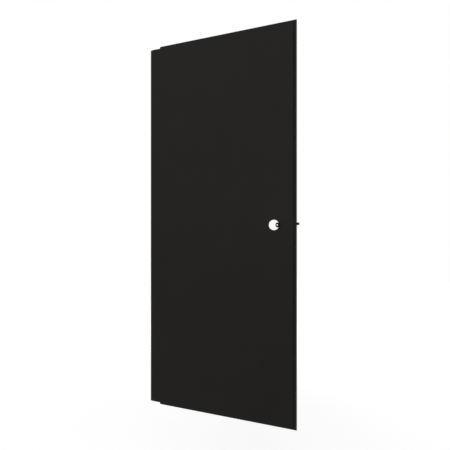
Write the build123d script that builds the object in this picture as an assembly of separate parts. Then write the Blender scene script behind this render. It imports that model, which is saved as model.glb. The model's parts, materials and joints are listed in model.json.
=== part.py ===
from build123d import *
import math
import os

# A steel toilet partition door leaf: two flanged face sheets on a honeycomb core, locked together by
# crowned edge bars. Pivot bushings sit in the notched hinge corners, and a turn disc draws the bolt.
# Millimetres. X runs along the width to the latch edge, -Y is the side with the turn disc, Z is up.
# The origin is on the pivot axis, on the seat of the bottom hinge notch.

# Leaf
leaf_width = 609.6
leaf_height = 1473.2
leaf_thickness = 25.4
sheet_thickness = 0.8
bend_radius = 2.0
core_gap = 2.0

# Edge bars
crown_rise = 9.5
bar_inset = 0.9
seam_gap = 0.8
bar_foot_radius = 1.6
bar_wall = 1.0
tongue_depth = 8.0
tongue_clearance = 0.1

# Hinge corners
notch_length = 49.0
seat_drop = 2.4
hinge_plate_thickness = 3.0
pivot_inset = 22.0
pivot_bore_radius = 4.85
bushing_radius = 8.0
bushing_length = 28.0
hinge_block_inset = 2.0
seat_clearance = 0.05

# Latch case and forend
latch_setback = 80.4
forend_height = 62.0
forend_inset = 0.2
case_height = 48.0
case_reach = 22.0
case_wall = 1.5
inner_bend_gap = 0.2

# Turn disc and its finger button
turn_radius = 19.2
turn_thickness = 3.0
turn_bevel = 0.8
turn_gap = 0.3
button_offset = 13.8
button_width = 13.2
button_length = 17.6
button_height = 6.0
button_bevel = 1.0
rivet_radius = 2.9
rivet_height = 0.8
rivet_bevel = 0.4

# Spindle and crank
spindle_radius = 4.0
spindle_clearance = 0.06
bearing_radius = 6.5
bearing_flange_radius = 9.0
bearing_flange_thickness = 1.2
bearing_proud = 0.1
crank_radius = 7.0
crank_start_angle = 45.0
crank_pin_radius = 1.5
crank_eye_radius = 3.0
crank_hub_radius = 6.0
crank_thickness = 3.0
crank_gap = 0.5

# Bolt
bolt_height = 9.2
bolt_thickness = 6.4
bolt_projection = 8.6
bolt_rise = 4.1
bolt_clearance = 0.5
bolt_edge_radius = 0.8
yoke_clearance = 0.45
yoke_wall = 3.5
yoke_joint_length = 5.0
shaft_gap = 0.6

# Release on the back
release_radius = 10.0
release_thickness = 1.6
release_slot_width = 2.0
release_slot_depth = 1.0
release_bevel = 0.4
rose_radius = 15.0
rose_thickness = 1.2
rose_bevel = 0.5
rose_clearance = 0.5

# Places worked out from the sizes above
half_leaf = leaf_thickness / 2
face_inside = half_leaf - sheet_thickness
notch_depth = crown_rise + seat_drop
seat_span = leaf_height - 2 * notch_depth
hinge_edge_x = -pivot_inset
latch_edge_x = leaf_width - pivot_inset
hinge_flange_x = hinge_edge_x + crown_rise
latch_flange_x = latch_edge_x - crown_rise
bottom_flange_z = -seat_drop
top_flange_z = seat_span + seat_drop
riser_x = hinge_edge_x + notch_length
lip_x = riser_x + hinge_plate_thickness
flange_gap = bolt_thickness + 2 * bolt_clearance
bar_half_width = half_leaf - bar_inset
bar_rise = crown_rise - seam_gap
latch_x = latch_edge_x - latch_setback
latch_z = seat_span / 2
bolt_z = latch_z + bolt_rise
bolt_travel = 2 * crank_radius * math.cos(math.radians(crank_start_angle))
case_end_x = latch_flange_x - bend_radius - inner_bend_gap
case_inside = face_inside - case_wall
turn_back_y = -(half_leaf + turn_gap)
turn_front_y = turn_back_y - turn_thickness
button_front_y = turn_front_y - button_height
mid_height = Plane.XY.offset(seat_span / 2)


def block(x, y, z):
    """A box from its low and high limits along each axis."""
    size = [high - low for low, high in (x, y, z)]
    centre = [(high + low) / 2 for low, high in (x, y, z)]
    return Pos(*centre) * Box(*size)


def drum(radius, y, x=latch_x, z=latch_z):
    """A cylinder along Y, on the latch axis unless it is told otherwise."""
    low, high = y
    return Pos(x, (low + high) / 2, z) * Rot(90, 0, 0) * Cylinder(radius, high - low)


def bolt_passage(x):
    """The clearance hole of the bolt between two places along X."""
    half_y = bolt_thickness / 2 + bolt_clearance
    half_z = bolt_height / 2 + bolt_clearance
    return block(x, (-half_y, half_y), (bolt_z - half_z, bolt_z + half_z))


def crown(half_width, rise):
    """A circular segment that stands on the local X axis."""
    arc = ThreePointArc((-half_width, 0), (0, rise), (half_width, 0))
    return make_face([arc, Line((half_width, 0), (-half_width, 0))])


def edge_plane(origin, outward, along):
    """A section plane of an edge: local Y points out of the leaf and Z runs along the edge."""
    return Plane(origin=origin, x_dir=Vector(*outward).cross(Vector(*along)), z_dir=along)


def along_edge(section, start, outward, along, length):
    """Extrude an edge section from a place on the flanges."""
    return extrude(edge_plane(start, outward, along) * section, amount=length)


def face_sheet():
    """The front sheet: a shallow pan with rounded bends, open inwards and notched for the hinges."""
    flange_edge_y = -flange_gap / 2
    outer = block(
        (hinge_flange_x, latch_flange_x), (-half_leaf, flange_edge_y), (bottom_flange_z, top_flange_z)
    )
    outer = fillet(outer.faces().sort_by(Axis.Y)[0].edges(), bend_radius)
    inner = block(
        (hinge_flange_x + sheet_thickness, latch_flange_x - sheet_thickness),
        (-face_inside, half_leaf),
        (bottom_flange_z + sheet_thickness, top_flange_z - sheet_thickness),
    )
    inner = fillet(inner.faces().sort_by(Axis.Y)[0].edges(), bend_radius - sheet_thickness)
    notch = block(
        (hinge_edge_x, lip_x), (-leaf_thickness, leaf_thickness), (-notch_depth, hinge_plate_thickness)
    )
    spindle_hole = drum(bearing_radius + seat_clearance, (-leaf_thickness, leaf_thickness))
    return outer - inner - notch - mirror(notch, about=mid_height) - spindle_hole


def honeycomb_core():
    """The core as a plain slab between the sheets, cut away round the hinge blocks and the latch."""
    margin = tongue_depth + core_gap
    across = (-face_inside, face_inside)
    slab = block(
        (hinge_flange_x + margin, latch_flange_x - margin),
        across,
        (bottom_flange_z + margin, top_flange_z - margin),
    )
    hinge_room = block(
        (hinge_edge_x, lip_x + core_gap), across, (-notch_depth, bushing_length + core_gap)
    )
    latch_room = block(
        (latch_x - case_reach - core_gap, latch_edge_x),
        across,
        (latch_z - case_height / 2 - core_gap, latch_z + case_height / 2 + core_gap),
    )
    return slab - hinge_room - mirror(hinge_room, about=mid_height) - latch_room


def bar_outline():
    """The outside of an edge bar: a crown with rolled feet, held off the flanges by the seam gap."""
    outline = crown(bar_half_width, bar_rise)
    return Pos(0, seam_gap) * fillet(outline.vertices(), bar_foot_radius)


def crown_section():
    """The section of a rolled tube with a crowned top and a flat foot."""
    hollow = crown(bar_half_width - bar_wall, bar_rise - 2 * bar_wall)
    return bar_outline() - Pos(0, seam_gap + bar_wall) * hollow


def tongue_section():
    """The two legs under the tube that lock into the gap between the sheets' flanges."""
    leg_x = flange_gap / 2 - tongue_clearance - bar_wall / 2
    leg_length = tongue_depth + seam_gap
    leg = Pos(leg_x, seam_gap - leg_length / 2) * Rectangle(bar_wall, leg_length)
    return leg + mirror(leg, about=Plane.YZ)


def bottom_edge_bar():
    """The bar along the bottom, closed at the notch and mitred at the latch corner."""
    down, right = (0, 0, -1), (1, 0, 0)
    length = latch_edge_x - riser_x
    start = (riser_x, 0, bottom_flange_z)
    bar = along_edge(crown_section(), start, down, right, length)
    bar += along_edge(bar_outline(), start, down, right, bar_wall)
    tongue_start = (lip_x + tongue_clearance, 0, bottom_flange_z)
    bar += along_edge(tongue_section(), tongue_start, down, right, length)
    corner = (latch_flange_x, 0, bottom_flange_z)
    return split(bar, bisect_by=Plane(origin=corner, z_dir=(-1, 0, -1)), keep=Keep.TOP)


def lower_latch_edge_bar():
    """The bar along the latch edge from the bottom corner's mitre up to the forend."""
    right, up = (1, 0, 0), (0, 0, 1)
    start = (latch_flange_x, 0, -notch_depth)
    length = latch_z - forend_height / 2 + notch_depth
    bar = along_edge(crown_section(), start, right, up, length)
    bar += along_edge(tongue_section(), start, right, up, length)
    corner = (latch_flange_x, 0, bottom_flange_z)
    return split(bar, bisect_by=Plane(origin=corner, z_dir=(1, 0, 1)), keep=Keep.TOP)


def hinge_edge_bar():
    """The bar along the hinge edge between the two hinge plates, its tongue kept clear of the blocks."""
    left, up = (-1, 0, 0), (0, 0, 1)
    low = hinge_plate_thickness
    bar = along_edge(crown_section(), (hinge_flange_x, 0, low), left, up, seat_span - 2 * low)
    low = bushing_length + core_gap
    bar += along_edge(tongue_section(), (hinge_flange_x, 0, low), left, up, seat_span - 2 * low)
    return bar


def hinge_plate():
    """The bottom notch's seat: a bent plate with a lip up the riser and a nose over the edge bar."""
    long_side = lip_x - hinge_flange_x
    seat = Pos(hinge_flange_x + long_side / 2, 0) * Rectangle(long_side, leaf_thickness)
    seat = fillet(seat.vertices().sort_by(Axis.X)[:2], bend_radius)
    neck_width = 2 * bar_half_width - 4 * bar_foot_radius
    nose = bar_outline() + Pos(0, seam_gap / 2) * Rectangle(neck_width, seam_gap)
    outline = seat + Pos(hinge_flange_x, 0) * Rot(0, 0, 90) * nose
    plate = extrude(outline, amount=hinge_plate_thickness)
    plate += block((riser_x, lip_x), (-half_leaf, half_leaf), (-seat_drop, hinge_plate_thickness))
    bushing_hole = Cylinder(bushing_radius + seat_clearance, leaf_thickness)
    return plate - bushing_hole


def hinge_block():
    """The block behind the bottom seat that carries the bushing."""
    body = block(
        (hinge_flange_x + bend_radius + inner_bend_gap, riser_x - hinge_block_inset),
        (-face_inside, face_inside),
        (hinge_plate_thickness, bushing_length),
    )
    return body - Cylinder(bushing_radius + seat_clearance, 2 * bushing_length + leaf_thickness)


def hinge_bushing():
    """The bored bushing of the bottom pivot, flush with the seat."""
    tube = Circle(bushing_radius) - Circle(pivot_bore_radius)
    return extrude(tube, amount=bushing_length)


def latch_forend():
    """The solid crowned piece in the latch edge that guides the bolt."""
    section = crown(half_leaf - forend_inset, crown_rise)
    start = (latch_flange_x, 0, latch_z - forend_height / 2)
    body = along_edge(section, start, (1, 0, 0), (0, 0, 1), forend_height)
    return body - bolt_passage((latch_flange_x, latch_edge_x))


def latch_case():
    """The tray inside the leaf that holds the crank and the bolt's tail, open to the front."""
    half_height = case_height / 2
    start_x = latch_x - case_reach
    tray = block(
        (start_x, case_end_x), (-case_inside, face_inside), (latch_z - half_height, latch_z + half_height)
    )
    tray -= block(
        (start_x + case_wall, case_end_x - case_wall),
        (-face_inside, case_inside),
        (latch_z - half_height + case_wall, latch_z + half_height - case_wall),
    )
    tray -= bolt_passage((latch_x, latch_edge_x))
    return tray - drum(bearing_radius + seat_clearance, (0, leaf_thickness))


def latch_cover():
    """The plate that closes the case behind the front sheet."""
    half_height = case_height / 2
    plate = block(
        (latch_x - case_reach, case_end_x),
        (-face_inside, -case_inside),
        (latch_z - half_height, latch_z + half_height),
    )
    return plate - drum(bearing_radius + seat_clearance, (-leaf_thickness, 0))


def front_bearing():
    """The flanged bush through the front sheet and the cover."""
    flange_y = -case_inside + bearing_flange_thickness
    bush = drum(bearing_radius, (-half_leaf - bearing_proud, -case_inside))
    bush += drum(bearing_flange_radius, (-case_inside, flange_y))
    return bush - drum(spindle_radius + spindle_clearance, (-leaf_thickness, leaf_thickness))


def latch_turn_disc():
    """The bright disc on the front that turns the spindle."""
    disc = drum(turn_radius, (turn_front_y, turn_back_y))
    return chamfer(disc.faces().sort_by(Axis.Y)[0].edges(), turn_bevel)


def finger_button():
    """The proud upright button that turns the disc."""
    seat = Plane(origin=(latch_x + button_offset, turn_front_y, latch_z), x_dir=(0, 0, 1), z_dir=(0, -1, 0))
    button = extrude(seat * SlotOverall(button_length, button_width), amount=button_height)
    return chamfer(button.faces().sort_by(Axis.Y)[0].edges(), button_bevel)


def button_rivet():
    """The bright head at the button's centre."""
    head_y = (button_front_y - rivet_height, button_front_y)
    head = drum(rivet_radius, head_y, latch_x + button_offset)
    return chamfer(head.faces().sort_by(Axis.Y)[0].edges(), rivet_bevel)


def latch_spindle():
    """The shaft through the leaf with its crank arm and crank pin."""
    arm_front = -(bolt_thickness / 2 + crank_gap + crank_thickness)
    arm_y = (arm_front, arm_front + crank_thickness)
    angle = math.radians(crank_start_angle)
    pin_x = latch_x + crank_radius * math.cos(angle)
    pin_z = latch_z + crank_radius * math.sin(angle)
    arm_centre = ((latch_x + pin_x) / 2, sum(arm_y) / 2, (latch_z + pin_z) / 2)
    web = Box(crank_radius, crank_thickness, 2 * crank_eye_radius)
    shaft = drum(spindle_radius, (turn_back_y, -turn_back_y))
    shaft += drum(crank_hub_radius, arm_y)
    shaft += drum(crank_eye_radius, arm_y, pin_x, pin_z)
    shaft += Pos(*arm_centre) * Rot(0, -crank_start_angle, 0) * web
    return shaft + drum(crank_pin_radius, (arm_front, bolt_thickness / 2), pin_x, pin_z)


def latch_bolt():
    """The sliding bolt: a bar to the latch edge and a slotted tail that passes over the shaft."""
    slot_x = latch_x + bolt_travel / 2
    slot_half = crank_pin_radius + yoke_clearance
    slot_top = latch_z + crank_radius + crank_pin_radius + yoke_clearance
    tail_low = latch_z + spindle_radius + shaft_gap
    tail_high = slot_top + yoke_wall
    tail_start = slot_x - slot_half - yoke_wall
    bar_start = latch_x + bolt_travel + spindle_radius + shaft_gap
    across = (-bolt_thickness / 2, bolt_thickness / 2)
    tip_x = latch_edge_x + bolt_projection
    bar = block((bar_start, tip_x), across, (bolt_z - bolt_height / 2, bolt_z + bolt_height / 2))
    bar = fillet(bar.faces().sort_by(Axis.X)[-1].edges(), bolt_edge_radius)
    tail = block((tail_start, bar_start + yoke_joint_length), across, (tail_low, tail_high))
    slot = block((slot_x - slot_half, slot_x + slot_half), across, (tail_low, slot_top))
    return bar + (tail - slot)


def release_rose():
    """The thin ring round the release on the back."""
    rose_y = (half_leaf, half_leaf + rose_thickness)
    plate = drum(rose_radius, rose_y)
    plate = chamfer(plate.faces().sort_by(Axis.Y)[-1].edges(), rose_bevel)
    return plate - drum(release_radius + rose_clearance, rose_y)


def release_turn():
    """The slotted end of the spindle on the back."""
    back_y = -turn_back_y + release_thickness
    disc = drum(release_radius, (-turn_back_y, back_y))
    disc = chamfer(disc.faces().sort_by(Axis.Y)[-1].edges(), release_bevel)
    slot = block(
        (latch_x - release_radius, latch_x + release_radius),
        (back_y - release_slot_depth, back_y),
        (latch_z - release_slot_width / 2, latch_z + release_slot_width / 2),
    )
    return disc - slot


pieces = {
    "front_face_sheet": face_sheet(),
    "back_face_sheet": mirror(face_sheet(), about=Plane.XZ),
    "honeycomb_core": honeycomb_core(),
    "bottom_edge_bar": bottom_edge_bar(),
    "top_edge_bar": mirror(bottom_edge_bar(), about=mid_height),
    "latch_edge_bar_lower": lower_latch_edge_bar(),
    "latch_edge_bar_upper": mirror(lower_latch_edge_bar(), about=mid_height),
    "hinge_edge_bar": hinge_edge_bar(),
    "bottom_hinge_plate": hinge_plate(),
    "top_hinge_plate": mirror(hinge_plate(), about=mid_height),
    "bottom_hinge_block": hinge_block(),
    "top_hinge_block": mirror(hinge_block(), about=mid_height),
    "bottom_hinge_bushing": hinge_bushing(),
    "top_hinge_bushing": mirror(hinge_bushing(), about=mid_height),
    "latch_forend": latch_forend(),
    "latch_case": latch_case(),
    "latch_cover": latch_cover(),
    "front_bearing": front_bearing(),
    "back_bearing": mirror(front_bearing(), about=Plane.XZ),
    "latch_turn_disc": latch_turn_disc(),
    "finger_button": finger_button(),
    "button_rivet": button_rivet(),
    "latch_spindle": latch_spindle(),
    "latch_bolt": latch_bolt(),
    "release_rose": release_rose(),
    "release_turn": release_turn(),
}

os.makedirs("parts", exist_ok=True)
for name, piece in pieces.items():
    export_step(piece, f"parts/{name}.step")
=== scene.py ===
"""Looks of a steel toilet partition door: coated leaf, pivot hinge corners and a bright turn latch.

Everything is in metres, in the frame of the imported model: X along the width to the latch edge, -Y out of
the side with the turn disc, Z up, and the origin on the seat of the bottom hinge notch.
"""
import json
import logging
import math
from dataclasses import dataclass
from enum import Enum

import bmesh
import bpy
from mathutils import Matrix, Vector


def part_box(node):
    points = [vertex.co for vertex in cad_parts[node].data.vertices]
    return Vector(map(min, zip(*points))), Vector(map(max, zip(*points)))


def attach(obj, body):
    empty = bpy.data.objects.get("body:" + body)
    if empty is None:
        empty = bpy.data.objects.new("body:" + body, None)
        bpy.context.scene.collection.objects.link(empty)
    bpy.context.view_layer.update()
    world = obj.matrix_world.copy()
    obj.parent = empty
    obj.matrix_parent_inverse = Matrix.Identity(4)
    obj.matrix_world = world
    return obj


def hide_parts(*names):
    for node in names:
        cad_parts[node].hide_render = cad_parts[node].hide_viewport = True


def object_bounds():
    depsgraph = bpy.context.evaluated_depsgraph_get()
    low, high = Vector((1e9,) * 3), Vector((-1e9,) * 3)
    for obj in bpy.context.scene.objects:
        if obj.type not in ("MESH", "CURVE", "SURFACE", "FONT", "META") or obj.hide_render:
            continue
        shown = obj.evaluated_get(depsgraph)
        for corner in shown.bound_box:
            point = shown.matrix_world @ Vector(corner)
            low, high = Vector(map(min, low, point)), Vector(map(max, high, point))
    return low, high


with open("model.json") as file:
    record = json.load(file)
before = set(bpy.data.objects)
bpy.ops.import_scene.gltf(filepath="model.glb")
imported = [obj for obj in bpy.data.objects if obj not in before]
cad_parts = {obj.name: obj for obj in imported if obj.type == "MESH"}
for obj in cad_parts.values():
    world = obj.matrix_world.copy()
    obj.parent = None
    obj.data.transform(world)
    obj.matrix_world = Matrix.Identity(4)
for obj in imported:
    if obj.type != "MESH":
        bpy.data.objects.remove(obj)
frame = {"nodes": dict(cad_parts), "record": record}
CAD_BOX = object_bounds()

Colour = tuple[float, float, float]
Point = tuple[float, float, float]
Pair = tuple[float, float]
Span = tuple[float, float]
Outline = list[Pair]
Socket = bpy.types.NodeSocket

MM = 0.001
CAD_MIDDLE = (CAD_BOX[0] + CAD_BOX[1]) / 2
RIGHT = Vector((1, 0, 0))
BACK = Vector((0, 1, 0))
UP = Vector((0, 0, 1))
SQUARE = 0.0
MITRE = 1.0
WHITE: Colour = (1.0, 1.0, 1.0)
log = logging.getLogger("partition_door")


class Body(Enum):
    """The rigid bodies that modelled pieces ride on."""

    LEAF = "leaf"
    TURN = "turn"


class Slot(Enum):
    """The record's material slots of the modelled pieces."""

    COAT = "black_powder_coat"
    FOREND = "black_forend"
    BOLT = "black_bolt"
    CHROME = "chrome"
    PLASTIC = "black_plastic"
    NYLON = "nylon"


class LeafEnd(Enum):
    """The two notched hinge corners."""

    BOTTOM = "bottom"
    TOP = "top"


class Joining(Enum):
    """What becomes of a solid that meets another."""

    CUT = "DIFFERENCE"
    WELD = "UNION"


@dataclass(frozen=True)
class Grain:
    """An irregular pattern over a surface.

    Attributes:
        size: About how large its features are.
        octaves: How many layers of finer features it has.
        depth: How deep it is as a relief.
        stretch: Factors along X, Y and Z, below one where the features are drawn out.
    """

    size: float
    octaves: float = 2.0
    depth: float = 0.0
    stretch: Point = (1.0, 1.0, 1.0)


class ShaderGraph:
    """A material's node tree, with short ways to add and join nodes."""

    def __init__(self, name: str) -> None:
        """Start a material with one principled shader.

        Args:
            name: The material's name.
        """
        self.material = bpy.data.materials.new(name)
        self.material.use_nodes = True
        self.tree = self.material.node_tree
        self.tree.nodes.clear()
        self.surface = self.add("BsdfPrincipled")
        output = self.add("OutputMaterial")
        self.join(self.surface.outputs["BSDF"], output.inputs["Surface"])
        self.position = self.add("TexCoord").outputs["Object"]

    def add(self, kind: str) -> bpy.types.ShaderNode:
        """Add a node by Blender's name for it, without the prefix."""
        return self.tree.nodes.new(f"ShaderNode{kind}")

    def join(self, source: Socket, target: Socket) -> None:
        """Link two sockets."""
        self.tree.links.new(source, target)

    def feed(self, target: Socket, value: Socket | float | Colour) -> None:
        """Link a socket to another, or set it to a plain number or colour.

        Args:
            target: The socket to feed.
            value: What it takes.
        """
        if isinstance(value, bpy.types.NodeSocket):
            self.join(value, target)
        else:
            target.default_value = (*value, 1.0) if isinstance(value, tuple) else value

    def shade(self, **values: Socket | float | Colour) -> None:
        """Feed sockets of the principled shader.

        Args:
            **values: Socket names with underscores for spaces, and what each one takes.
        """
        for name, value in values.items():
            self.feed(self.surface.inputs[name.replace("_", " ")], value)

    def calculate(self, operation: str, first: Socket | float, second: Socket | float = 0.0) -> Socket:
        """Add a math node.

        Args:
            operation: Blender's name of the operation.
            first: Its first value.
            second: Its second value.

        Returns:
            The result's socket.
        """
        node = self.add("Math")
        node.operation = operation
        self.feed(node.inputs[0], first)
        self.feed(node.inputs[1], second)
        return node.outputs["Value"]

    def coordinates(self) -> tuple[Socket, Socket, Socket]:
        """Split the place on the object into its coordinates.

        Returns:
            The sockets of X, Y and Z.
        """
        node = self.add("SeparateXYZ")
        self.join(self.position, node.inputs["Vector"])
        return node.outputs["X"], node.outputs["Y"], node.outputs["Z"]

    def radius(self, first: Socket, second: Socket, axis: Pair) -> Socket:
        """Work out the distance from an axis.

        Args:
            first: The place along one direction across the axis.
            second: The place along the other.
            axis: Where the axis lies on both.

        Returns:
            The distance's socket.
        """
        squares = []
        for place_across, middle in zip((first, second), axis):
            offset = self.calculate("SUBTRACT", place_across, middle)
            squares.append(self.calculate("POWER", offset, 2.0))
        return self.calculate("SQRT", self.calculate("ADD", *squares))

    def noise(self, grain: Grain) -> Socket:
        """Add a noise that fills the object with a pattern.

        Args:
            grain: The pattern.

        Returns:
            The noise's value socket.
        """
        scaled = self.add("Mapping")
        scaled.inputs["Scale"].default_value = [factor / grain.size for factor in grain.stretch]
        self.join(self.position, scaled.inputs["Vector"])
        node = self.add("TexNoise")
        node.inputs["Scale"].default_value = 1.0
        node.inputs["Detail"].default_value = grain.octaves
        self.join(scaled.outputs["Vector"], node.inputs["Vector"])
        return node.outputs["Fac"]

    def rings(self, radius: Socket, size: float) -> Socket:
        """Add a noise that changes with the radius alone, as turning on a lathe leaves it.

        Args:
            radius: The distance from the axis.
            size: About how wide the rings are.

        Returns:
            The noise's value socket.
        """
        node = self.add("TexNoise")
        node.noise_dimensions = "1D"
        node.inputs["Scale"].default_value = 1.0 / size
        self.join(radius, node.inputs["W"])
        return node.outputs["Fac"]

    def span(self, value: Socket, low: float, high: float, start: float = 0.3, end: float = 0.7) -> Socket:
        """Map a value from one range to another, smoothly and without overshoot.

        Args:
            value: The socket to map.
            low: Result at start.
            high: Result at end.
            start: Value that gives low, for a noise the lower end of most of its values.
            end: Value that gives high, for a noise the upper end of most of its values.

        Returns:
            The mapped socket.
        """
        node = self.add("MapRange")
        node.interpolation_type = "SMOOTHSTEP"
        for name, number in (("From Min", start), ("From Max", end), ("To Min", low), ("To Max", high)):
            node.inputs[name].default_value = number
        self.join(value, node.inputs["Value"])
        return node.outputs["Result"]

    def mix(self, factor: Socket, first: Socket | Colour, second: Socket | Colour) -> Socket:
        """Mix two colours by a factor.

        Args:
            factor: Share of the second colour.
            first: Colour at factor 0.
            second: Colour at factor 1.

        Returns:
            The colour's socket.
        """
        node = self.add("Mix")
        node.data_type = "RGBA"
        colours = [socket for socket in node.inputs if socket.type == "RGBA"]
        self.join(factor, node.inputs["Factor"])
        self.feed(colours[0], first)
        self.feed(colours[1], second)
        return next(socket for socket in node.outputs if socket.type == "RGBA")

    def mottled(self, grain: Grain, dark: Colour, light: Colour) -> Socket:
        """Spread two tones of a colour over the surface in a pattern."""
        return self.mix(self.span(self.noise(grain), 0.0, 1.0), dark, light)

    def relief(self, height: Socket, depth: float, under: Socket | None = None) -> Socket:
        """Turn a height from 0 to 1 into a bumped normal.

        Args:
            height: The height's socket.
            depth: How deep the relief is.
            under: A normal to add it to.

        Returns:
            The normal's socket.
        """
        node = self.add("Bump")
        node.inputs["Strength"].default_value = 1.0
        node.inputs["Distance"].default_value = depth
        self.join(height, node.inputs["Height"])
        if under is not None:
            self.join(under, node.inputs["Normal"])
        return node.outputs["Normal"]


@dataclass(frozen=True)
class PowderCoat:
    """Baked powder coat on steel: a satin black with a fine orange peel."""

    name: str
    dark: Colour = (0.0088, 0.0078, 0.0060)
    light: Colour = (0.0103, 0.0092, 0.0072)
    smooth: float = 0.40
    rough: float = 0.47
    specular: float = 0.11
    tone: Grain = Grain(90 * MM, 3.0)
    sheen: Grain = Grain(180 * MM, 4.0)
    peel: Grain = Grain(2.2 * MM, 1.5, 0.025 * MM)
    grain: Grain = Grain(0.45 * MM, 1.0, 0.006 * MM)

    def material(self) -> bpy.types.Material:
        """Build the coat.

        Returns:
            The material.
        """
        graph = ShaderGraph(self.name)
        peel = graph.relief(graph.noise(self.peel), self.peel.depth)
        graph.shade(
            Base_Color=graph.mottled(self.tone, self.dark, self.light),
            Roughness=graph.span(graph.noise(self.sheen), self.smooth, self.rough),
            Normal=graph.relief(graph.noise(self.grain), self.grain.depth, peel),
            Specular_IOR_Level=self.specular,
        )
        return graph.material


@dataclass(frozen=True)
class BrightPlate:
    """Bright chrome plate over a turned face, with faint rings round an axis along Y.

    Attributes:
        axis: Where the axis lies along X and Z.
        recess: Where a recess has its floor and its rim along Y. Its floor stays as cast and rougher, and
            its dark colour is painted shade.
    """

    name: str
    axis: Pair
    recess: Span | None = None
    dark: Colour = (0.555, 0.555, 0.56)
    light: Colour = (0.60, 0.60, 0.605)
    # Painted shade for the recess floor.
    recess_painted_shade: Colour = (0.11, 0.11, 0.113)
    dull_rough: float = 0.5
    ring_size: float = 0.5 * MM
    ring_depth: float = 0.0012 * MM
    smooth: float = 0.06
    rough: float = 0.13
    cloud: Grain = Grain(6 * MM, 3.0)

    def material(self) -> bpy.types.Material:
        """Build the plate.

        Returns:
            The material.
        """
        graph = ShaderGraph(self.name)
        along, out, up = graph.coordinates()
        turned = graph.rings(graph.radius(along, up, self.axis), self.ring_size)
        colour = graph.mix(graph.span(turned, 0.0, 1.0), self.dark, self.light)
        rough = graph.span(graph.noise(self.cloud), self.smooth, self.rough)
        if self.recess:
            # Painted shade: the recess floor is darkened towards near black; its higher roughness is the
            # real as-cast floor.
            colour = graph.mix(graph.span(out, 0.0, 1.0, *self.recess), self.recess_painted_shade, colour)
            rough = graph.calculate("MAXIMUM", rough, graph.span(out, self.dull_rough, 0.0, *self.recess))
        normal = graph.relief(turned, self.ring_depth)
        graph.shade(Base_Color=colour, Roughness=rough, Normal=normal, Metallic=1.0)
        return graph.material


@dataclass(frozen=True)
class Moulded:
    """Moulded plastic or nylon with a fine spark-eroded grain."""

    name: str
    dark: Colour
    light: Colour
    smooth: float
    rough: float
    specular: float
    tone: Grain = Grain(12 * MM)
    sheen: Grain = Grain(4 * MM, 3.0)
    grain: Grain = Grain(0.6 * MM, 2.0, 0.008 * MM)

    def material(self) -> bpy.types.Material:
        """Build the plastic.

        Returns:
            The material.
        """
        graph = ShaderGraph(self.name)
        graph.shade(
            Base_Color=graph.mottled(self.tone, self.dark, self.light),
            Roughness=graph.span(graph.noise(self.sheen), self.smooth, self.rough),
            Normal=graph.relief(graph.noise(self.grain), self.grain.depth),
            Specular_IOR_Level=self.specular,
        )
        return graph.material


@dataclass(frozen=True)
class PlatedSteel:
    """Zinc-plated or blackened steel with a grain drawn out along the width."""

    name: str
    dark: Colour
    light: Colour
    metallic: float
    smooth: float
    rough: float
    specular: float = 0.5
    tone: Grain = Grain(10 * MM, 3.0)
    grain: Grain = Grain(0.9 * MM, 2.0, 0.004 * MM, (0.06, 1.0, 1.0))

    def material(self) -> bpy.types.Material:
        """Build the steel.

        Returns:
            The material.
        """
        graph = ShaderGraph(self.name)
        drawn = graph.noise(self.grain)
        graph.shade(
            Base_Color=graph.mottled(self.tone, self.dark, self.light),
            Roughness=graph.span(drawn, self.smooth, self.rough),
            Normal=graph.relief(drawn, self.grain.depth),
            Metallic=self.metallic,
            Specular_IOR_Level=self.specular,
        )
        return graph.material


@dataclass(frozen=True)
class KraftHoneycomb:
    """Expanded kraft paper cells, seen end on, with painted shade filling the open cells.

    Attributes:
        wall: Where a cell's wall ends and its open middle starts, as shares of the cell's size.
    """

    name: str
    paper: Colour = (0.42, 0.29, 0.16)
    # Painted shade: the dark brown in each open cell stands in for the shade down inside it.
    painted_cell_shade: Colour = (0.10, 0.065, 0.035)
    cell_size: float = 18 * MM
    unevenness: float = 0.25
    wall: Span = (0.02, 0.06)
    wall_height: float = 0.4 * MM
    roughness: float = 0.85
    specular: float = 0.2

    def material(self) -> bpy.types.Material:
        """Build the paper.

        Returns:
            The material.
        """
        graph = ShaderGraph(self.name)
        cells = graph.add("TexVoronoi")
        cells.feature = "DISTANCE_TO_EDGE"
        cells.inputs["Scale"].default_value = 1.0 / self.cell_size
        cells.inputs["Randomness"].default_value = self.unevenness
        graph.join(graph.position, cells.inputs["Vector"])
        wall = graph.span(cells.outputs["Distance"], 1.0, 0.0, *self.wall)
        graph.shade(
            Base_Color=graph.mix(wall, self.painted_cell_shade, self.paper),
            Roughness=self.roughness,
            Normal=graph.relief(wall, self.wall_height),
            Specular_IOR_Level=self.specular,
        )
        return graph.material


NATURAL_NYLON = Moulded(
    "natural_nylon",
    dark=(0.60, 0.57, 0.50),
    light=(0.68, 0.65, 0.58),
    smooth=0.42,
    rough=0.55,
    specular=0.4,
)
BUTTON_PLASTIC = Moulded(
    "button_plastic",
    dark=(0.0032, 0.0032, 0.0033),
    light=(0.0045, 0.0045, 0.0046),
    smooth=0.40,
    rough=0.48,
    specular=0.12,
)
ZINC_PLATE = PlatedSteel(
    "zinc_plate",
    dark=(0.50, 0.51, 0.53),
    light=(0.60, 0.60, 0.60),
    metallic=1.0,
    smooth=0.28,
    rough=0.42,
)
BOLT_BLACK = PlatedSteel(
    "bolt_black",
    dark=(0.004, 0.004, 0.0042),
    light=(0.006, 0.006, 0.006),
    metallic=0.0,
    smooth=0.34,
    rough=0.44,
    specular=0.16,
)


def dress(node: str, material: bpy.types.Material) -> None:
    """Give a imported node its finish.

    Args:
        node: The node's name.
        material: Its finish.
    """
    piece = frame["nodes"][node]
    piece.data.materials.clear()
    piece.data.materials.append(material)
    log.info("%s dressed in %s", node, material.name)


def extent(node: str) -> Vector:
    """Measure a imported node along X, Y and Z."""
    low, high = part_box(node)
    return high - low


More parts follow.
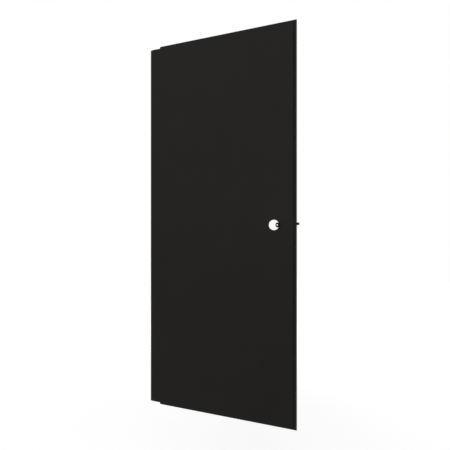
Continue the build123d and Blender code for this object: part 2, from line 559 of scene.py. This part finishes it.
@dataclass(frozen=True)
class Seat:
    """A place on the object with its own directions: right, up and out."""

    origin: Vector
    right: Vector
    up: Vector

    @classmethod
    def under_front(cls, node: str) -> "Seat":
        """Find the seat under a piece on the front.

        Args:
            node: The piece's node.

        Returns:
            The seat, which faces out of the front.
        """
        low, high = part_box(node)
        middle = (low + high) / 2
        return cls(Vector((middle.x, high.y, middle.z)), RIGHT, UP)

    @property
    def out(self) -> Vector:
        """The direction that the seat faces."""
        return self.right.cross(self.up)

    def ring(self, outline: Outline, height: float) -> list[Vector]:
        """Place a flat outline at one height over the seat."""
        start = self.origin + height * self.out
        return [start + right * self.right + up * self.up for right, up in outline]

    def reach(self, node: str) -> Span:
        """Measure the lowest and the highest place of a node over the seat."""
        places = [(corner - self.origin).dot(self.out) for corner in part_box(node)]
        return min(places), max(places)


class SolidMesh:
    """A closed mesh put together from lofted rings."""

    SHARP_ANGLE = math.radians(28)
    WELD_GAP = 0.001 * MM
    ROUND_STEPS = 5

    def __init__(self) -> None:
        """Start with nothing."""
        self.points: list[Vector] = []
        self.faces: list[list[int]] = []

    def loft(self, rings: list[list[Vector]], looped: bool = False) -> None:
        """Skin a row of rings with equal numbers of points, and close it.

        Args:
            rings: The rings in order.
            looped: Whether the last ring runs on into the first, as in a tube, or both ends are capped.
        """
        first = len(self.points)
        count = len(rings[0])
        for ring in rings:
            self.points.extend(ring)
        for row in range(len(rings) if looped else len(rings) - 1):
            low = first + row * count
            high = first + (row + 1) % len(rings) * count
            for here in range(count):
                there = (here + 1) % count
                self.faces.append([low + here, low + there, high + there, high + here])
        if not looped:
            last = first + (len(rings) - 1) * count
            self.faces.append(list(range(first + count - 1, first - 1, -1)))
            self.faces.append(list(range(last, last + count)))

    def rims(self, low: float, high: float, edge: float) -> Outline:
        """Work out a wall's profile between two heights, with both its rims rounded.

        Args:
            low: The lower height.
            high: The upper height.
            edge: The radius of the rims.

        Returns:
            Pairs of inset and height.
        """
        turns = [math.pi / 2 * step / self.ROUND_STEPS for step in range(self.ROUND_STEPS + 1)]
        rim = [(edge * (1 - math.sin(turn)), edge * (1 - math.cos(turn))) for turn in turns]
        lower = [(inward, low + drop) for inward, drop in rim]
        upper = [(inward, high - drop) for inward, drop in reversed(rim)]
        return lower + upper

    def slab(self, seat: Seat, outline: Outline, span: Span, edge: float) -> None:
        """Add a slab of any outline with rounded rims.

        Args:
            seat: The place that it lies on.
            outline: Its outline.
            span: Its two heights over the seat.
            edge: The radius of its rims.
        """
        self.loft([seat.ring(inset(outline, inward), out) for inward, out in self.rims(*span, edge)])

    def tube(self, seat: Seat, radii: Pair, span: Span, edge: float) -> None:
        """Add a round tube with rounded rims.

        Args:
            seat: The place that it lies on, on its axis.
            radii: Its inner and outer radius.
            span: Its two heights over the seat.
            edge: The radius of its rims.
        """
        wall = self.rims(*span, edge)
        outside = [seat.ring(circle(radii[1] - inward), out) for inward, out in wall]
        inside = [seat.ring(circle(radii[0] + inward), out) for inward, out in reversed(wall)]
        self.loft(outside + inside, looped=True)

    def mesh(self, name: str) -> bpy.types.Mesh:
        """Make the mesh, with its faces turned outwards.

        Args:
            name: The mesh's name.

        Returns:
            The mesh.
        """
        mesh = bpy.data.meshes.new(name)
        mesh.from_pydata(self.points, [], self.faces)
        shape = bmesh.new()
        shape.from_mesh(mesh)
        bmesh.ops.recalc_face_normals(shape, faces=shape.faces)
        shape.to_mesh(mesh)
        shape.free()
        return mesh

    def joined(self, name: str, *others: tuple["SolidMesh", Joining]) -> bpy.types.Mesh:
        """Make the mesh with other solids welded on or cut out.

        Args:
            name: The mesh's name.
            *others: The other solids in order, and what becomes of each.

        Returns:
            The mesh.
        """
        collection = bpy.context.scene.collection
        body = bpy.data.objects.new("joining_body", self.mesh("joining_body"))
        collection.objects.link(body)
        temporary = [body]
        for solid, joining in others:
            tool = bpy.data.objects.new("joining_tool", solid.mesh("joining_tool"))
            collection.objects.link(tool)
            temporary.append(tool)
            boolean = body.modifiers.new("joining", "BOOLEAN")
            boolean.operation = joining.value
            boolean.solver = "EXACT"
            boolean.object = tool
        result = bpy.data.meshes.new_from_object(body.evaluated_get(bpy.context.evaluated_depsgraph_get()))
        for piece in temporary:
            bpy.data.meshes.remove(piece.data)
        shape = bmesh.new()
        shape.from_mesh(result)
        bmesh.ops.dissolve_degenerate(shape, edges=shape.edges, dist=self.WELD_GAP)
        shape.to_mesh(result)
        shape.free()
        result.name = name
        return result


def place(
    mesh: bpy.types.Mesh, material: bpy.types.Material, body: Body, replaced: str | None = None
) -> None:
    """Put a modelled piece on its body, shaded smooth across curves and sharp at edges.

    Args:
        mesh: The piece's mesh, which also names it.
        material: Its finish.
        body: The body that it rides on.
        replaced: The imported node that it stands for.
    """
    mesh.materials.clear()
    mesh.materials.append(material)
    mesh.polygons.foreach_set("use_smooth", [True] * len(mesh.polygons))
    mesh.set_sharp_from_angle(angle=SolidMesh.SHARP_ANGLE)
    piece = bpy.data.objects.new(mesh.name, mesh)
    piece.modifiers.new("flat_faces", "WEIGHTED_NORMAL").keep_sharp = True
    bpy.context.scene.collection.objects.link(piece)
    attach(piece, body.value)
    if replaced:
        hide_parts(replaced)
    log.info("%s built in %s", mesh.name, material.name)


def arc(centre: Pair, radius: float, start: float, end: float, steps: int) -> Outline:
    """Work out points along an arc, both ends included.

    Args:
        centre: The arc's centre.
        radius: Its radius.
        start: The angle of its first point.
        end: The angle of its last point.
        steps: The number of chords.

    Returns:
        The points as pairs.
    """
    angles = [start + (end - start) * step / steps for step in range(steps + 1)]
    return [(centre[0] + radius * math.cos(a), centre[1] + radius * math.sin(a)) for a in angles]


def circle(radius: float, steps: int = 96) -> Outline:
    """Work out points round a circle about the seat's origin."""
    return arc((0.0, 0.0), radius, 0.0, math.tau * (1 - 1 / steps), steps - 1)


def inset(outline: Outline, distance: float) -> Outline:
    """Move every side of a closed outline inwards.

    Args:
        outline: The outline, with no point twice in a row.
        distance: How far its sides move.

    Returns:
        The outline inside it, with as many points.
    """
    points = [Vector(point) for point in outline]
    doubled_area = sum(a.x * b.y - b.x * a.y for a, b in zip(points, points[1:] + points[:1]))
    inward = math.copysign(distance, doubled_area)
    moved = []
    for before, here, after in zip(points[-1:] + points[:-1], points, points[1:] + points[:1]):
        first = (here - before).normalized().orthogonal()
        second = (after - here).normalized().orthogonal()
        moved.append(tuple(here + inward * (first + second) / (1 + first.dot(second))))
    return moved


@dataclass
class EdgeBar:
    """A rolled edge bar: a crowned tube with rolled feet, on two legs between the sheets' flanges.

    Attributes:
        node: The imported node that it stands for.
        outward: The direction out of the leaf.
        along: The direction along the edge.
        flange: A point in the plane of the flanges, in the middle of the thickness.
        tube: Where the tube starts and ends along the edge, in the plane of the flanges.
        legs: Where the legs start and end along the edge.
        lean: How each end leans along the edge on the way outwards, SQUARE or a signed MITRE.
    """

    node: str
    outward: Vector
    along: Vector
    flange: Vector
    tube: Span
    legs: Span
    lean: Pair = (SQUARE, SQUARE)
    half_width: float = 11.8 * MM
    seam_gap: float = 0.8 * MM
    foot_radius: float = 1.6 * MM
    leg_outside: float = 3.6 * MM
    leg_wall: float = 1.0 * MM
    leg_depth: float = 8.0 * MM
    crown_steps: int = 44
    foot_steps: int = 8

    def crown(self) -> Outline:
        """Work out the tube's section: a circular crown whose corners are rolled under.

        Returns:
            The outline as pairs of across and outward.
        """
        top = max(corner.dot(self.outward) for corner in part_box(self.node))
        rise = top - self.flange.dot(self.outward)
        height = rise - self.seam_gap
        radius = (self.half_width**2 + height**2) / (2 * height)
        centre_up = rise - radius
        foot_up = self.seam_gap + self.foot_radius
        reach = radius - self.foot_radius
        foot_across = math.sqrt(reach**2 - (foot_up - centre_up) ** 2)
        join = math.asin((foot_up - centre_up) / reach)
        right = arc((foot_across, foot_up), self.foot_radius, -math.pi / 2, join, self.foot_steps)
        bow = arc((0.0, centre_up), radius, join, math.pi - join, self.crown_steps)
        left = [(-across, up) for across, up in reversed(right)]
        return right + bow[1:-1] + left

    def leg(self, side: int) -> Outline:
        """Work out one leg's section.

        Args:
            side: The side of the middle that it stands on, as a sign.

        Returns:
            The outline as pairs of across and outward.
        """
        near = side * (self.leg_outside - self.leg_wall)
        far = side * self.leg_outside
        foot = self.seam_gap + self.leg_wall / 2
        return [(near, -self.leg_depth), (far, -self.leg_depth), (far, foot), (near, foot)]

    def sweep(self, solid: SolidMesh, section: Outline, ends: Span) -> None:
        """Run a section along the edge between two ends, which may lean as mitres.

        Args:
            solid: The mesh to add it to.
            section: The outline as pairs of across and outward.
            ends: The places of the two ends along the edge.
        """
        across = self.outward.cross(self.along)
        rings = []
        for end, lean in zip(ends, self.lean):
            start = self.flange + end * self.along
            slope = self.outward + lean * self.along
            rings.append([start + u * across + v * slope for u, v in section])
        solid.loft(rings)

    def build(self, material: bpy.types.Material) -> None:
        """Build the bar over its node.

        Args:
            material: The bar's finish.
        """
        tube, legs = SolidMesh(), SolidMesh()
        self.sweep(tube, self.crown(), self.tube)
        for side in (-1, 1):
            self.sweep(legs, self.leg(side), self.legs)
        mesh = tube.joined(f"{self.node}_rolled", (legs, Joining.WELD))
        place(mesh, material, Body.LEAF, self.node)


@dataclass
class Leaf:
    """The two face sheets, the core and the edge bars."""

    coat: bpy.types.Material
    core: KraftHoneycomb = KraftHoneycomb("kraft_honeycomb")
    sheets: tuple[str, str] = ("front_face_sheet", "back_face_sheet")
    leg_end_gap: float = 0.1 * MM
    leg_block_gap: float = 2.0 * MM

    def build(self) -> None:
        """Dress the sheets and the core, and build the bars."""
        for node in self.sheets:
            dress(node, self.coat)
        dress("honeycomb_core", self.core.material())
        for bar in self.bars():
            bar.build(self.coat)

    def bars(self) -> list[EdgeBar]:
        """Lay out the five bars on the flanges of the sheets.

        Returns:
            The bars.
        """
        low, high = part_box(self.sheets[0])
        tube = (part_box("bottom_edge_bar")[0].x, high.x)
        legs = (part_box("bottom_hinge_plate")[1].x + self.leg_end_gap, high.x)
        forend_low, forend_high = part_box("latch_forend")
        lower, upper = (low.z, forend_low.z), (forend_high.z, high.z)
        return [
            EdgeBar("bottom_edge_bar", -UP, RIGHT, low.z * UP, tube, legs, (SQUARE, MITRE)),
            EdgeBar("top_edge_bar", UP, RIGHT, high.z * UP, tube, legs, (SQUARE, MITRE)),
            EdgeBar("latch_edge_bar_lower", RIGHT, UP, high.x * RIGHT, lower, lower, (-MITRE, SQUARE)),
            EdgeBar("latch_edge_bar_upper", RIGHT, UP, high.x * RIGHT, upper, upper, (SQUARE, MITRE)),
            self.hinge_bar(),
        ]

    def hinge_bar(self) -> EdgeBar:
        """Lay out the bar between the two hinge plates.

        Returns:
            The bar.
        """
        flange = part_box(self.sheets[0])[0].x * RIGHT
        tube = (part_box("bottom_hinge_plate")[1].z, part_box("top_hinge_plate")[0].z)
        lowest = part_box("bottom_hinge_block")[1].z + self.leg_block_gap
        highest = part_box("top_hinge_block")[0].z - self.leg_block_gap
        return EdgeBar("hinge_edge_bar", -RIGHT, UP, flange, tube, (lowest, highest))


@dataclass
class HingeCorner:
    """A notched hinge corner: its bent seat plate, bushing and the block behind them.

    Attributes:
        nose: The bar along the hinge edge, whose section the plate's nose repeats.
    """

    end: LeafEnd
    coat: bpy.types.Material
    nylon: bpy.types.Material
    zinc: bpy.types.Material
    nose: EdgeBar
    lip_thickness: float = 3.0 * MM
    corner_radius: float = 2.0 * MM
    corner_steps: int = 6
    bushing_clearance: float = 0.05 * MM
    plate_edge: float = 0.3 * MM
    bushing_edge: float = 0.3 * MM

    def build(self) -> None:
        """Build the plate and the bushing, and dress the block."""
        mounts = {mount["name"]: mount for mount in frame["record"]["mounts"]}
        mount = mounts[self.named("hinge_seat")]
        seat = Seat(Vector(mount["pos_m"]), RIGHT.cross(Vector(mount["axis"])), RIGHT)
        bore = mounts[self.named("pivot_bore")]["dims"]["r_mm"] * MM
        self.plate(seat)
        self.bushing(seat, bore)
        dress(self.named("hinge_block"), self.zinc)

    def named(self, part: str) -> str:
        """Name a node or a mount of this corner."""
        return f"{self.end.value}_{part}"

    def outline(self, end: float, half: float) -> Outline:
        """Work out the plate's outline: the seat between the sheets and the nose over the edge bar.

        Args:
            end: Where the seat ends along the width.
            half: Half the width of the seat.

        Returns:
            The outline as pairs of across and along.
        """
        flange = self.nose.flange.x
        neck = self.nose.half_width - 2 * self.nose.foot_radius
        radius = self.corner_radius
        turn = math.pi / 2
        near = arc((-half + radius, flange + radius), radius, 3 * turn, 2 * turn, self.corner_steps)
        far = arc((half - radius, flange + radius), radius, 4 * turn, 3 * turn, self.corner_steps)
        nose = [(across, flange - outward) for across, outward in self.nose.crown()]
        foot = nose[0][1]
        left = [(-neck, foot), (-neck, flange)] + near + [(-half, end)]
        right = [(half, end)] + far + [(neck, flange), (neck, foot)]
        return nose + left + right

    def plate(self, seat: Seat) -> None:
        """Build the bent plate, with its lip on the riser and the hole of the bushing.

        Args:
            seat: The corner's seat.
        """
        node = self.named("hinge_plate")
        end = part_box(node)[1].x
        inner, outer = seat.reach(node)
        riser = end - self.lip_thickness
        half = extent(node).y / 2
        floor, lip, hole = SolidMesh(), SolidMesh(), SolidMesh()
        floor.slab(seat, self.outline((riser + end) / 2, half), (inner, 0.0), self.plate_edge)
        lip_outline = [(-half, riser), (half, riser), (half, end), (-half, end)]
        lip.slab(seat, lip_outline, (inner, outer), self.plate_edge)
        rim = circle(extent(self.named("hinge_bushing")).x / 2 + self.bushing_clearance)
        # The cut runs past both faces by the plate's own thickness.
        hole.loft([seat.ring(rim, 2 * inner), seat.ring(rim, -inner)])
        mesh = floor.joined(f"{node}_bent", (lip, Joining.WELD), (hole, Joining.CUT))
        place(mesh, self.coat, Body.LEAF, node)

    def bushing(self, seat: Seat, bore: float) -> None:
        """Build the bored bushing.

        Args:
            seat: The corner's seat.
            bore: The radius of its bore.
        """
        node = self.named("hinge_bushing")
        solid = SolidMesh()
        solid.tube(seat, (bore, extent(node).x / 2), seat.reach(node), self.bushing_edge)
        place(solid.mesh(f"{node}_bored"), self.nylon, Body.LEAF, node)


@dataclass
class CountersunkScrew:
    """A flat-headed screw with a cross recess, sunk into a bore of its own.

    Attributes:
        seat: The place on the surface that the head is sunk into.
        sink: How far the head lies below that place.
        recess_taper: The size of the recess at its floor, as a share of its size at the head.
        least_share: The least sine and cosine that the recess is worked out with.
    """

    name: str
    seat: Seat
    head_radius: float = 2.8 * MM
    head_depth: float = 1.5 * MM
    edge: float = 0.12 * MM
    sink: float = 0.34 * MM
    shank_radius: float = 1.4 * MM
    shank_length: float = 5.0 * MM
    bore_gap: float = 0.12 * MM
    arm_length: float = 1.55 * MM
    arm_half_width: float = 0.42 * MM
    recess_depth: float = 1.1 * MM
    recess_taper: float = 0.6
    steps: int = 96
    least_share: float = 1e-9

    def cross(self, scale: float) -> Outline:
        """Work out the outline of the cross recess.

        Args:
            scale: A factor on the outline.

        Returns:
            The outline, with as many points as the head's rim.
        """
        outline = []
        for step in range(self.steps):
            angle = math.tau * step / self.steps
            cosine = max(abs(math.cos(angle)), self.least_share)
            sine = max(abs(math.sin(angle)), self.least_share)
            flat = min(self.arm_length / cosine, self.arm_half_width / sine)
            tall = min(self.arm_half_width / cosine, self.arm_length / sine)
            reach = scale * max(flat, tall)
            outline.append((reach * math.cos(angle), reach * math.sin(angle)))
        return outline

    def bore(self, solid: SolidMesh) -> None:
        """Add the bore's shape to a cutting tool.

        Args:
            solid: The cutting tool.
        """
        wide = circle(self.head_radius + self.bore_gap, self.steps)
        narrow = circle(self.shank_radius + self.bore_gap, self.steps)
        floor = -self.sink - self.head_depth
        heights = [
            (wide, self.head_depth),
            (wide, -self.sink - self.edge),
            (narrow, floor),
            (narrow, floor - self.shank_length),
        ]
        solid.loft([self.seat.ring(outline, out) for outline, out in heights])

    def build(self, material: bpy.types.Material, body: Body, slot: Slot) -> None:
        """Build the screw.

        Args:
            material: Its finish.
            body: The body that it rides on.
            slot: The record's material slot; not used.
        """
        shank = circle(self.shank_radius, self.steps)
        rim = circle(self.head_radius, self.steps)
        crest = circle(self.head_radius - self.edge, self.steps)
        under = -self.sink - self.head_depth
        heights = [
            (shank, under - self.shank_length + self.bore_gap),
            (shank, under),
            (rim, -self.sink - self.edge),
            (crest, -self.sink),
            (self.cross(1.0), -self.sink),
            (self.cross(self.recess_taper), -self.sink - self.recess_depth),
        ]
        solid = SolidMesh()
        solid.loft([self.seat.ring(outline, out) for outline, out in heights])
        place(solid.mesh(self.name), material, body)


@dataclass
class Forend:
    """The crowned forend in the latch edge, with its two screws and the bolt's hole."""

    coat: bpy.types.Material
    black: bpy.types.Material
    node: str = "latch_forend"
    end_bevel: float = 0.35 * MM
    crown_steps: int = 56
    bolt_height: float = 9.2 * MM
    bolt_clearance: float = 0.5 * MM
    screw_offset: float = 22.5 * MM

    def build(self) -> None:
        """Build the forend and its screws, and dress the bolt."""
        tool, screws = self.bolt_hole(), self.screws()
        for screw in screws:
            screw.bore(tool)
        mesh = self.body().joined(f"{self.node}_cast", (tool, Joining.CUT))
        place(mesh, self.coat, Body.LEAF, self.node)
        for screw in screws:
            screw.build(self.black, Body.LEAF, Slot.BOLT)
        dress("latch_bolt", self.black)

    def section(self, inside: float) -> Outline:
        """Work out the crown's outline, or one that lies a little inside it.

        Args:
            inside: How far inside.

        Returns:
            The outline as pairs of across and outward.
        """
        low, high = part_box(self.node)
        half, rise = (high.y - low.y) / 2, high.x - low.x
        radius = (half**2 + rise**2) / (2 * rise)
        centre_out = rise - radius
        start = math.asin(-centre_out / (radius - inside))
        return arc((0.0, centre_out), radius - inside, start, math.pi - start, self.crown_steps)

    def body(self) -> SolidMesh:
        """Run the crown from end to end, with both ends bevelled.

        Returns:
            The solid.
        """
        low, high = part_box(self.node)
        ends = (
            (self.end_bevel, low.z),
            (0.0, low.z + self.end_bevel),
            (0.0, high.z - self.end_bevel),
            (self.end_bevel, high.z),
        )
        body = SolidMesh()
        body.loft([[Vector((low.x + out, -u, z)) for u, out in self.section(inside)] for inside, z in ends])
        return body

    def bolt_hole(self) -> SolidMesh:
        """Make the tool that cuts the bolt's hole.

        Returns:
            The tool.
        """
        low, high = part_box(self.node)
        bolt_low, bolt_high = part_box("latch_bolt")
        gap = self.bolt_clearance
        front, back = bolt_low.y - gap, bolt_high.y + gap
        bottom, top = bolt_low.z - gap, bolt_low.z + self.bolt_height + gap
        sides = [(front, bottom), (back, bottom), (back, top), (front, top)]
        tool = SolidMesh()
        tool.loft([[Vector((x, y, z)) for y, z in sides] for x in (low.x - gap, high.x + gap)])
        return tool

    def screws(self) -> list[CountersunkScrew]:
        """Lay out the screws below and above the bolt.

        Returns:
            The screws.
        """
        low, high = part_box(self.node)
        middle = (low.z + high.z) / 2
        screws = []
        for name, side in (("forend_screw_lower", -1), ("forend_screw_upper", 1)):
            origin = Vector((high.x, 0, middle + side * self.screw_offset))
            screws.append(CountersunkScrew(name, Seat(origin, BACK, UP)))
        return screws


@dataclass
class TurnLatch:
    """The turn disc with its button, the works inside the leaf and the release on the back."""

    nylon: bpy.types.Material
    zinc: bpy.types.Material
    plastic: bpy.types.Material
    button_edge: float = 1.3 * MM
    button_dish: float = 0.2 * MM
    dish_inset: float = 1.0 * MM
    round_steps: int = 32
    edge_steps: int = 8
    rivet_sink: float = 0.5 * MM
    rivet_wall: float = 0.25 * MM
    rivet_flat: float = 0.8 * MM
    dome_steps: int = 8
    disc_edge: float = 0.8 * MM
    release_edge: float = 0.4 * MM
    slot_width: float = 2.0 * MM
    slot_depth: float = 1.0 * MM
    rose_gap: float = 0.5 * MM

    def build(self) -> None:
        """Build the disc, the button with its rivet and the release, and dress the works."""
        middle = sum(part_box("latch_turn_disc"), Vector()) / 2
        axis = (middle.x, middle.z)
        chrome = BrightPlate("bright_plate", axis).material()
        origin = Vector((middle.x, 0.0, middle.z))
        self.disc(Seat(origin, RIGHT, UP), chrome)
        self.button()
        self.rivet()
        self.release(Seat(origin, -RIGHT, UP), axis, chrome)
        for node in ("front_bearing", "back_bearing"):
            dress(node, self.nylon)
        for node in ("latch_case", "latch_cover", "latch_spindle"):
            dress(node, self.zinc)

    def disc(self, seat: Seat, material: bpy.types.Material) -> None:
        """Build the turned disc.

        Args:
            seat: The latch axis, facing out of the front.
            material: Its finish.
        """
        node = "latch_turn_disc"
        solid = SolidMesh()
        solid.slab(seat, circle(extent(node).x / 2), seat.reach(node), self.disc_edge)
        place(solid.mesh(f"{node}_turned"), material, Body.TURN, node)

    def stadium(self, size: Vector, inside: float) -> Outline:
        """Work out the button's upright outline, or one that lies inside it.

        Args:
            size: The button's size.
            inside: How far inside.

        Returns:
            The outline as pairs of right and up.
        """
        radius = size.x / 2
        straight = size.z / 2 - radius
        upper = arc((0.0, straight), radius - inside, 0.0, math.pi, self.round_steps)
        lower = arc((0.0, -straight), radius - inside, math.pi, math.tau, self.round_steps)
        return upper + lower

    def button(self) -> None:
        """Build the rounded, slightly dished finger button."""
        node = "finger_button"
        seat, size = Seat.under_front(node), extent(node)
        edge = self.button_edge
        profile = [(0.0, 0.0)]
        profile += arc((edge, size.y - edge), edge, math.pi, math.pi / 2, self.edge_steps)
        profile.append((edge + self.dish_inset, size.y - self.button_dish / 2))
        profile.append((edge + 2 * self.dish_inset, size.y - self.button_dish))
        solid = SolidMesh()
        solid.loft([seat.ring(self.stadium(size, inside), out) for inside, out in profile])
        place(solid.mesh(f"{node}_moulded"), self.plastic, Body.TURN, node)

    def rivet(self) -> None:
        """Build the domed rivet head."""
        node = "button_rivet"
        seat, size = Seat.under_front(node), extent(node)
        material = BrightPlate("rivet_plate", (seat.origin.x, seat.origin.z)).material()
        radius = size.x / 2
        dome = size.y - self.rivet_wall
        profile = [(radius, -self.rivet_sink), (radius, self.rivet_wall)]
        for step in range(1, self.dome_steps + 1):
            angle = math.pi / 2 * step / self.dome_steps
            reach = self.rivet_flat + (radius - self.rivet_flat) * math.cos(angle)
            profile.append((reach, self.rivet_wall + dome * math.sin(angle)))
        solid = SolidMesh()
        solid.loft([seat.ring(circle(reach), out) for reach, out in profile])
        place(solid.mesh(f"{node}_domed"), material, Body.TURN, node)

    def release(self, seat: Seat, axis: Pair, material: bpy.types.Material) -> None:
        """Build the slotted release and the rose round it.

        Args:
            seat: The latch axis, facing out of the back.
            axis: Where the latch axis lies along X and Z.
            material: The rose's finish.
        """
        node, rose = "release_turn", "release_rose"
        radius = extent(node).x / 2
        inner, face = seat.reach(node)
        half = self.slot_width / 2
        floor = face - self.slot_depth
        coin, slot, ring = SolidMesh(), SolidMesh(), SolidMesh()
        coin.slab(seat, circle(radius), (inner, face), self.release_edge)
        # The cut runs past the rim on both sides, and past the face.
        sides = [(-2 * radius, -half), (2 * radius, -half), (2 * radius, half), (-2 * radius, half)]
        slot.loft([seat.ring(sides, floor), seat.ring(sides, face + self.slot_depth)])
        # The slot's floor is darkened with painted shade.
        finish = BrightPlate("slotted_plate", axis, (floor, face - self.release_edge)).material()
        mesh = coin.joined(f"{node}_slotted", (slot, Joining.CUT))
        place(mesh, finish, Body.TURN, node)
        ring.tube(seat, (radius + self.rose_gap, extent(rose).x / 2), seat.reach(rose), self.release_edge)
        place(ring.mesh(f"{rose}_turned"), material, Body.LEAF, rose)


def background_ray(tree: bpy.types.NodeTree) -> Socket:
    """Tell the rays that see the background from those that light the object.

    Args:
        tree: The node tree to add the test to.

    Returns:
        A socket that is 1 for camera, glossy and transmission rays.
    """
    path = tree.nodes.new("ShaderNodeLightPath")
    total = path.outputs["Is Camera Ray"]
    for name in ("Is Glossy Ray", "Is Transmission Ray"):
        either = tree.nodes.new("ShaderNodeMath")
        either.operation = "MAXIMUM"
        tree.links.new(total, either.inputs[0])
        tree.links.new(path.outputs[name], either.inputs[1])
        total = either.outputs["Value"]
    return total


@dataclass
class Studio:
    """A pale floor, a white surround, soft lamps and the camera.

    Attributes:
        floor_gap: How far the leaf hangs over the floor.
        near_lift: What lifts the floor to white under the leaf, out to near_radius.
        far_lift: What lifts the floor to white past far_radius, where the panels light it less.
        camera_turn: How far the camera is turned from square, towards the hinge edge.
    """

    floor_gap: float = 305 * MM
    floor_side: float = 14.0
    floor_colour: Colour = (0.80, 0.80, 0.80)
    floor_roughness: float = 0.9
    near_lift: float = 0.49
    far_lift: float = 0.66
    near_radius: float = 0.8
    far_radius: float = 3.2
    surround_light: float = 0.50
    panel_size: Pair = (4.0, 3.2)
    panel_away: float = 2.8
    panel_level: float = 1.8
    panel_aim: float = 1.6
    panel_power: float = 25.0
    camera_past_latch: float = 278.2 * MM
    camera_back: float = 1382.5 * MM
    camera_below_middle: float = 15.7 * MM
    camera_turn: float = math.radians(21.912)
    sensor_mm: float = 36.0
    lens_mm: float = 30.918
    frame_shift: float = 0.00954

    def build(self) -> None:
        """Build the whole studio."""
        bpy.context.scene.view_settings.view_transform = "Standard"
        self.surround()
        self.floor()
        self.panel("front_panel", -1)
        self.panel("back_panel", 1)
        self.camera()

    def surround(self) -> None:
        """Make a world that looks white and lights softly."""
        world = bpy.data.worlds.new("studio_surround")
        world.use_nodes = True
        tree = world.node_tree
        strength = tree.nodes.new("ShaderNodeMapRange")
        strength.inputs["To Min"].default_value = self.surround_light
        strength.inputs["To Max"].default_value = 1.0
        tree.links.new(background_ray(tree), strength.inputs["Value"])
        background = tree.nodes["Background"]
        background.inputs["Color"].default_value = (*WHITE, 1.0)
        tree.links.new(strength.outputs["Result"], background.inputs["Strength"])
        bpy.context.scene.world = world

    def floor(self) -> None:
        """Lay the pale floor under the hung leaf."""
        half = self.floor_side / 2
        level = CAD_BOX[0].z - self.floor_gap
        corners = [(-half, -half, level), (half, -half, level), (half, half, level), (-half, half, level)]
        mesh = bpy.data.meshes.new("studio_floor")
        mesh.from_pydata(corners, [], [(0, 1, 2, 3)])
        mesh.materials.append(self.floor_finish())
        floor = bpy.data.objects.new("studio_floor", mesh)
        bpy.context.scene.collection.objects.link(floor)

    def floor_finish(self) -> bpy.types.Material:
        """Build the floor's matt finish, lifted to white for the rays that see the background.

        Returns:
            The material.
        """
        graph = ShaderGraph("pale_floor")
        along, across, _ = graph.coordinates()
        radius = graph.radius(along, across, (CAD_MIDDLE.x, 0.0))
        lift = graph.span(radius, self.near_lift, self.far_lift, self.near_radius, self.far_radius)
        graph.shade(
            Base_Color=self.floor_colour,
            Roughness=self.floor_roughness,
            Specular_IOR_Level=0.0,
            Emission_Color=WHITE,
            Emission_Strength=graph.calculate("MULTIPLY", background_ray(graph.tree), lift),
        )
        return graph.material

    def panel(self, name: str, side: int) -> None:
        """Hang one wide soft panel.

        Args:
            name: The panel's name.
            side: The side of the leaf that it lights, as a sign along Y.
        """
        data = bpy.data.lights.new(name, "AREA")
        data.shape = "RECTANGLE"
        data.size, data.size_y = self.panel_size
        data.energy = self.panel_power
        panel = bpy.data.objects.new(name, data)
        panel.location = (CAD_MIDDLE.x, side * self.panel_away, self.panel_level)
        aim = Vector((CAD_MIDDLE.x, 0.0, self.panel_aim)) - panel.location
        panel.rotation_euler = aim.to_track_quat("-Z", "Y").to_euler()
        panel.visible_camera = False
        bpy.context.scene.collection.objects.link(panel)

    def camera(self) -> None:
        """Stand the level camera past the latch edge, as the photograph was taken."""
        data = bpy.data.cameras.new("photo_camera")
        data.sensor_width = self.sensor_mm
        data.lens = self.lens_mm
        data.shift_y = self.frame_shift
        camera = bpy.data.objects.new("photo_camera", data)
        latch_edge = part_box("latch_forend")[1].x
        camera.location = (
            latch_edge + self.camera_past_latch,
            -self.camera_back,
            CAD_MIDDLE.z - self.camera_below_middle,
        )
        camera.rotation_euler = (math.pi / 2, 0.0, self.camera_turn)
        bpy.context.scene.collection.objects.link(camera)
        bpy.context.scene.camera = camera


def main() -> None:
    """Build the studio and dress the door, part by part."""
    logging.basicConfig(level=logging.INFO, format="%(name)s: %(message)s")
    coat = PowderCoat("powder_coat").material()
    nylon = NATURAL_NYLON.material()
    zinc = ZINC_PLATE.material()
    black = BOLT_BLACK.material()
    plastic = BUTTON_PLASTIC.material()
    Studio().build()
    leaf = Leaf(coat)
    leaf.build()
    for end in LeafEnd:
        HingeCorner(end, coat, nylon, zinc, leaf.hinge_bar()).build()
    Forend(coat, black).build()
    TurnLatch(nylon, zinc, plastic).build()


if __name__ == "__main__":
    main()
